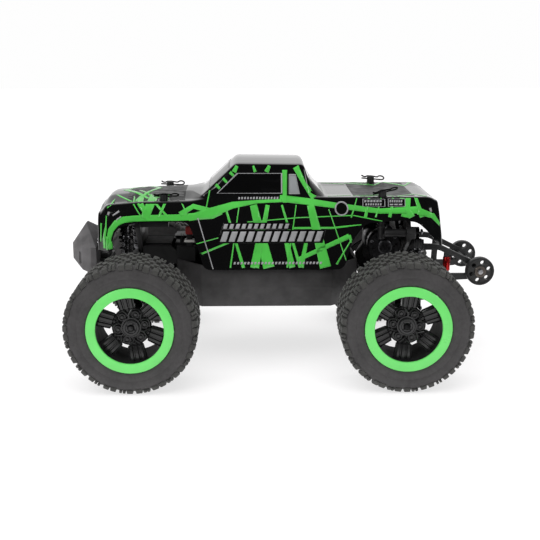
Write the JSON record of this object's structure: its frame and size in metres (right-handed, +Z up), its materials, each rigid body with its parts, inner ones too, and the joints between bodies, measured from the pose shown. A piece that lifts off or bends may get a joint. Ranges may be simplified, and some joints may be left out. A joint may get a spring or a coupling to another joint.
{
  "type": "radio-controlled monster truck",
  "caption": "Radio-controlled monster truck with a pickup shell, big treaded tyres, double-wishbone suspension, steered front wheels and a rear wheelie bar.",
  "frame": {"origin": "middle of the bounding box on the ground under the truck", "axes": "+X from the front bumper towards the wheelie bar, so the nose points along -X; +Y to the truck's right; +Z up"},
  "size_m": [0.4314, 0.301, 0.206],
  "materials": {
    "tyre_rubber": "matte",
    "rim_gloss_black": "gloss",
    "arm_plastic": "satin",
    "shock_metal": "polished",
    "spring_steel": "satin",
    "clip_black": "satin",
    "wheelie_plastic": "satin",
    "frame_plastic": "satin",
    "tub_plastic": "matte",
    "bumper_plastic": "matte",
    "shell_gloss_black": "gloss",
    "motor_metal": "satin",
    "battery_wrap": "satin",
    "servo_plastic": "satin",
    "shell_green": "gloss",
    "shell_silver": "gloss",
    "window_black": "gloss",
    "ring_green": "gloss",
    "bolt_steel": "satin",
    "wire_red": "satin",
    "wire_white": "satin",
    "lamp_silver": "gloss"
  },
  "bodies": {
    "chassis": {"chassis_tub": "tub_plastic", "front_bulkhead": "frame_plastic", "rear_gearbox": "frame_plastic", "motor": "motor_metal", "front_shock_tower": "frame_plastic", "rear_shock_tower": "frame_plastic", "steering_servo": "servo_plastic", "battery_pack": "battery_wrap", "speed_controller": "servo_plastic", "front_bumper": "bumper_plastic", "wheelie_bar": "frame_plastic", "body_shell": "shell_gloss_black"},
    "front_left_lower_arm": {"front_left_lower_arm": "arm_plastic"},
    "front_left_upper_arm": {"front_left_upper_arm": "arm_plastic"},
    "front_left_upright": {"front_left_caster_block": "arm_plastic"},
    "front_left_shock_body": {"front_left_shock_body": "shock_metal", "front_left_spring": "spring_steel"},
    "front_left_shock_rod": {"front_left_shock_rod": "shock_metal"},
    "front_left_knuckle": {"front_left_steering_knuckle": "arm_plastic"},
    "front_left_tie_rod": {"front_left_tie_rod": "arm_plastic"},
    "front_left_wheel": {"front_left_rim": "rim_gloss_black", "front_left_tyre": "tyre_rubber"},
    "front_right_lower_arm": {"front_right_lower_arm": "arm_plastic"},
    "front_right_upper_arm": {"front_right_upper_arm": "arm_plastic"},
    "front_right_upright": {"front_right_caster_block": "arm_plastic"},
    "front_right_shock_body": {"front_right_shock_body": "shock_metal", "front_right_spring": "spring_steel"},
    "front_right_shock_rod": {"front_right_shock_rod": "shock_metal"},
    "front_right_knuckle": {"front_right_steering_knuckle": "arm_plastic"},
    "front_right_tie_rod": {"front_right_tie_rod": "arm_plastic"},
    "front_right_wheel": {"front_right_rim": "rim_gloss_black", "front_right_tyre": "tyre_rubber"},
    "rear_left_lower_arm": {"rear_left_lower_arm": "arm_plastic"},
    "rear_left_upper_arm": {"rear_left_upper_arm": "arm_plastic"},
    "rear_left_upright": {"rear_left_hub_carrier": "arm_plastic"},
    "rear_left_shock_body": {"rear_left_shock_body": "shock_metal", "rear_left_spring": "spring_steel"},
    "rear_left_shock_rod": {"rear_left_shock_rod": "shock_metal"},
    "rear_left_driveshaft": {"rear_left_driveshaft": "spring_steel"},
    "rear_left_wheel": {"rear_left_rim": "rim_gloss_black", "rear_left_tyre": "tyre_rubber", "rear_left_axle": "spring_steel"},
    "rear_right_lower_arm": {"rear_right_lower_arm": "arm_plastic"},
    "rear_right_upper_arm": {"rear_right_upper_arm": "arm_plastic"},
    "rear_right_upright": {"rear_right_hub_carrier": "arm_plastic"},
    "rear_right_shock_body": {"rear_right_shock_body": "shock_metal", "rear_right_spring": "spring_steel"},
    "rear_right_shock_rod": {"rear_right_shock_rod": "shock_metal"},
    "rear_right_driveshaft": {"rear_right_driveshaft": "spring_steel"},
    "rear_right_wheel": {"rear_right_rim": "rim_gloss_black", "rear_right_tyre": "tyre_rubber", "rear_right_axle": "spring_steel"},
    "centre_link": {"centre_link": "arm_plastic"},
    "servo_horn": {"servo_horn": "arm_plastic"},
    "wheelie_wheel_left": {"wheelie_wheel_left": "wheelie_plastic"},
    "wheelie_wheel_right": {"wheelie_wheel_right": "wheelie_plastic"},
    "body_clip_front_left": {"body_clip_front_left": "clip_black"},
    "body_clip_front_right": {"body_clip_front_right": "clip_black"},
    "body_clip_rear_left": {"body_clip_rear_left": "clip_black"},
    "body_clip_rear_right": {"body_clip_rear_right": "clip_black"}
  },
  "joints": [
    {"name": "front_left_suspension", "type": "hinge", "parent": "chassis", "child": "front_left_lower_arm", "pos_m": [-0.14275, -0.028, 0.072], "axis": [-1, 0, 0], "range_deg": [-6, 18], "stiffness_Nm_per_rad": 6, "springref_deg": -3.44},
    {"name": "front_left_upper_arm_swing", "type": "hinge", "parent": "chassis", "child": "front_left_upper_arm", "pos_m": [-0.14275, -0.028, 0.096], "axis": [-1, 0, 0], "range_deg": [-6, 18]},
    {"name": "front_left_upright_swing", "type": "hinge", "parent": "front_left_lower_arm", "child": "front_left_upright", "pos_m": [-0.14275, -0.08, 0.052], "axis": [-1, 0, 0], "range_deg": [-18, 6]},
    {"name": "front_left_shock_swing", "type": "hinge", "parent": "chassis", "child": "front_left_shock_body", "pos_m": [-0.15575, -0.044, 0.148], "axis": [-1, 0, 0], "range_deg": [-1.26, 3.69]},
    {"name": "front_left_shock_slide", "type": "slide", "parent": "front_left_shock_body", "child": "front_left_shock_rod", "axis": [0, 0.2438, 0.9698], "range_m": [-0.00393, 0.01138], "deforming": ["front_left_spring"]},
    {"name": "front_left_steer", "type": "hinge", "parent": "front_left_upright", "child": "front_left_knuckle", "pos_m": [-0.14275, -0.09, 0.0625], "axis": [0, 0, 1], "range_deg": [-25, 25]},
    {"name": "front_left_tie_rod_swing", "type": "hinge", "parent": "centre_link", "child": "front_left_tie_rod", "pos_m": [-0.12275, -0.036, 0.089], "axis": [-1, 0, 0], "range_deg": [-6, 18]},
    {"name": "front_left_wheel_spin", "type": "hinge", "parent": "front_left_knuckle", "child": "front_left_wheel", "pos_m": [-0.14275, -0.12, 0.0625], "axis": [0, 1, 0], "continuous": true},
    {"name": "front_right_suspension", "type": "hinge", "parent": "chassis", "child": "front_right_lower_arm", "pos_m": [-0.14275, 0.028, 0.072], "axis": [1, 0, 0], "range_deg": [-6, 18], "stiffness_Nm_per_rad": 6, "springref_deg": -3.44},
    {"name": "front_right_upper_arm_swing", "type": "hinge", "parent": "chassis", "child": "front_right_upper_arm", "pos_m": [-0.14275, 0.028, 0.096], "axis": [1, 0, 0], "range_deg": [-6, 18]},
    {"name": "front_right_upright_swing", "type": "hinge", "parent": "front_right_lower_arm", "child": "front_right_upright", "pos_m": [-0.14275, 0.08, 0.052], "axis": [1, 0, 0], "range_deg": [-18, 6]},
    {"name": "front_right_shock_swing", "type": "hinge", "parent": "chassis", "child": "front_right_shock_body", "pos_m": [-0.15575, 0.044, 0.148], "axis": [1, 0, 0], "range_deg": [-1.26, 3.69]},
    {"name": "front_right_shock_slide", "type": "slide", "parent": "front_right_shock_body", "child": "front_right_shock_rod", "axis": [0, -0.2438, 0.9698], "range_m": [-0.00393, 0.01138], "deforming": ["front_right_spring"]},
    {"name": "front_right_steer", "type": "hinge", "parent": "front_right_upright", "child": "front_right_knuckle", "pos_m": [-0.14275, 0.09, 0.0625], "axis": [0, 0, 1], "range_deg": [-25, 25]},
    {"name": "front_right_tie_rod_swing", "type": "hinge", "parent": "centre_link", "child": "front_right_tie_rod", "pos_m": [-0.12275, 0.036, 0.089], "axis": [1, 0, 0], "range_deg": [-6, 18]},
    {"name": "front_right_wheel_spin", "type": "hinge", "parent": "front_right_knuckle", "child": "front_right_wheel", "pos_m": [-0.14275, 0.12, 0.0625], "axis": [0, 1, 0], "continuous": true},
    {"name": "rear_left_suspension", "type": "hinge", "parent": "chassis", "child": "rear_left_lower_arm", "pos_m": [0.11325, -0.028, 0.072], "axis": [-1, 0, 0], "range_deg": [-6, 18], "stiffness_Nm_per_rad": 6, "springref_deg": -3.44},
    {"name": "rear_left_upper_arm_swing", "type": "hinge", "parent": "chassis", "child": "rear_left_upper_arm", "pos_m": [0.11325, -0.028, 0.096], "axis": [-1, 0, 0], "range_deg": [-6, 18]},
    {"name": "rear_left_upright_swing", "type": "hinge", "parent": "rear_left_lower_arm", "child": "rear_left_upright", "pos_m": [0.11325, -0.08, 0.052], "axis": [-1, 0, 0], "range_deg": [-18, 6]},
    {"name": "rear_left_shock_swing", "type": "hinge", "parent": "chassis", "child": "rear_left_shock_body", "pos_m": [0.13525, -0.044, 0.134], "axis": [-1, 0, 0], "range_deg": [-1.62, 4.77]},
    {"name": "rear_left_shock_slide", "type": "slide", "parent": "rear_left_shock_body", "child": "rear_left_shock_rod", "axis": [0, 0.2868, 0.958], "range_m": [-0.00381, 0.01104], "deforming": ["rear_left_spring"]},
    {"name": "rear_left_driveshaft_swing", "type": "hinge", "parent": "chassis", "child": "rear_left_driveshaft", "pos_m": [0.11325, -0.028, 0.0825], "axis": [-1, 0, 0], "range_deg": [-6, 18]},
    {"name": "rear_left_wheel_spin", "type": "hinge", "parent": "rear_left_upright", "child": "rear_left_wheel", "pos_m": [0.11325, -0.12, 0.0625], "axis": [0, 1, 0], "continuous": true},
    {"name": "rear_right_suspension", "type": "hinge", "parent": "chassis", "child": "rear_right_lower_arm", "pos_m": [0.11325, 0.028, 0.072], "axis": [1, 0, 0], "range_deg": [-6, 18], "stiffness_Nm_per_rad": 6, "springref_deg": -3.44},
    {"name": "rear_right_upper_arm_swing", "type": "hinge", "parent": "chassis", "child": "rear_right_upper_arm", "pos_m": [0.11325, 0.028, 0.096], "axis": [1, 0, 0], "range_deg": [-6, 18]},
    {"name": "rear_right_upright_swing", "type": "hinge", "parent": "rear_right_lower_arm", "child": "rear_right_upright", "pos_m": [0.11325, 0.08, 0.052], "axis": [1, 0, 0], "range_deg": [-18, 6]},
    {"name": "rear_right_shock_swing", "type": "hinge", "parent": "chassis", "child": "rear_right_shock_body", "pos_m": [0.13525, 0.044, 0.134], "axis": [1, 0, 0], "range_deg": [-1.62, 4.77]},
    {"name": "rear_right_shock_slide", "type": "slide", "parent": "rear_right_shock_body", "child": "rear_right_shock_rod", "axis": [0, -0.2868, 0.958], "range_m": [-0.00381, 0.01104], "deforming": ["rear_right_spring"]},
    {"name": "rear_right_driveshaft_swing", "type": "hinge", "parent": "chassis", "child": "rear_right_driveshaft", "pos_m": [0.11325, 0.028, 0.0825], "axis": [1, 0, 0], "range_deg": [-6, 18]},
    {"name": "rear_right_wheel_spin", "type": "hinge", "parent": "rear_right_upright", "child": "rear_right_wheel", "pos_m": [0.11325, 0.12, 0.0625], "axis": [0, 1, 0], "continuous": true},
    {"name": "centre_link_slide", "type": "slide", "parent": "chassis", "child": "centre_link", "axis": [0, 1, 0], "range_m": [-0.0086, 0.0086]},
    {"name": "servo_horn_swing", "type": "hinge", "parent": "chassis", "child": "servo_horn", "pos_m": [-0.11525, 0, 0.107], "axis": [1, 0, 0], "range_deg": [-28.1, 28.1]},
    {"name": "wheelie_wheel_left_spin", "type": "hinge", "parent": "chassis", "child": "wheelie_wheel_left", "pos_m": [0.20125, -0.0415, 0.093], "axis": [0, 1, 0], "continuous": true},
    {"name": "wheelie_wheel_right_spin", "type": "hinge", "parent": "chassis", "child": "wheelie_wheel_right", "pos_m": [0.20125, 0.0415, 0.093], "axis": [0, 1, 0], "continuous": true},
    {"name": "body_clip_front_left_pull", "type": "slide", "parent": "chassis", "child": "body_clip_front_left", "axis": [1, 0, 0], "range_m": [0, 0.0145]},
    {"name": "body_clip_front_right_pull", "type": "slide", "parent": "chassis", "child": "body_clip_front_right", "axis": [1, 0, 0], "range_m": [0, 0.0145]},
    {"name": "body_clip_rear_left_pull", "type": "slide", "parent": "chassis", "child": "body_clip_rear_left", "axis": [1, 0, 0], "range_m": [0, 0.0145]},
    {"name": "body_clip_rear_right_pull", "type": "slide", "parent": "chassis", "child": "body_clip_rear_right", "axis": [1, 0, 0], "range_m": [0, 0.0145]}
  ],
  "couplings": [
    {"joint": "front_left_upper_arm_swing", "follows": "front_left_suspension", "ratio": 1},
    {"joint": "front_left_upright_swing", "follows": "front_left_suspension", "ratio": -1},
    {"joint": "front_left_shock_swing", "follows": "front_left_suspension", "ratio": 0.202},
    {"joint": "front_left_shock_slide", "follows": "front_left_suspension", "m_per_rad": 0.0356},
    {"joint": "front_left_tie_rod_swing", "follows": "front_left_suspension", "ratio": 1},
    {"joint": "front_right_upper_arm_swing", "follows": "front_right_suspension", "ratio": 1},
    {"joint": "front_right_upright_swing", "follows": "front_right_suspension", "ratio": -1},
    {"joint": "front_right_shock_swing", "follows": "front_right_suspension", "ratio": 0.202},
    {"joint": "front_right_shock_slide", "follows": "front_right_suspension", "m_per_rad": 0.0356},
    {"joint": "front_right_tie_rod_swing", "follows": "front_right_suspension", "ratio": 1},
    {"joint": "rear_left_upper_arm_swing", "follows": "rear_left_suspension", "ratio": 1},
    {"joint": "rear_left_upright_swing", "follows": "rear_left_suspension", "ratio": -1},
    {"joint": "rear_left_shock_swing", "follows": "rear_left_suspension", "ratio": 0.262},
    {"joint": "rear_left_shock_slide", "follows": "rear_left_suspension", "m_per_rad": 0.0345},
    {"joint": "rear_left_driveshaft_swing", "follows": "rear_left_suspension", "ratio": 1},
    {"joint": "rear_right_upper_arm_swing", "follows": "rear_right_suspension", "ratio": 1},
    {"joint": "rear_right_upright_swing", "follows": "rear_right_suspension", "ratio": -1},
    {"joint": "rear_right_shock_swing", "follows": "rear_right_suspension", "ratio": 0.262},
    {"joint": "rear_right_shock_slide", "follows": "rear_right_suspension", "m_per_rad": 0.0345},
    {"joint": "rear_right_driveshaft_swing", "follows": "rear_right_suspension", "ratio": 1},
    {"joint": "front_right_steer", "follows": "front_left_steer", "ratio": 1},
    {"joint": "centre_link_slide", "follows": "front_left_steer", "m_per_rad": 0.0194},
    {"joint": "servo_horn_swing", "follows": "front_left_steer", "ratio": 1.12}
  ]
}
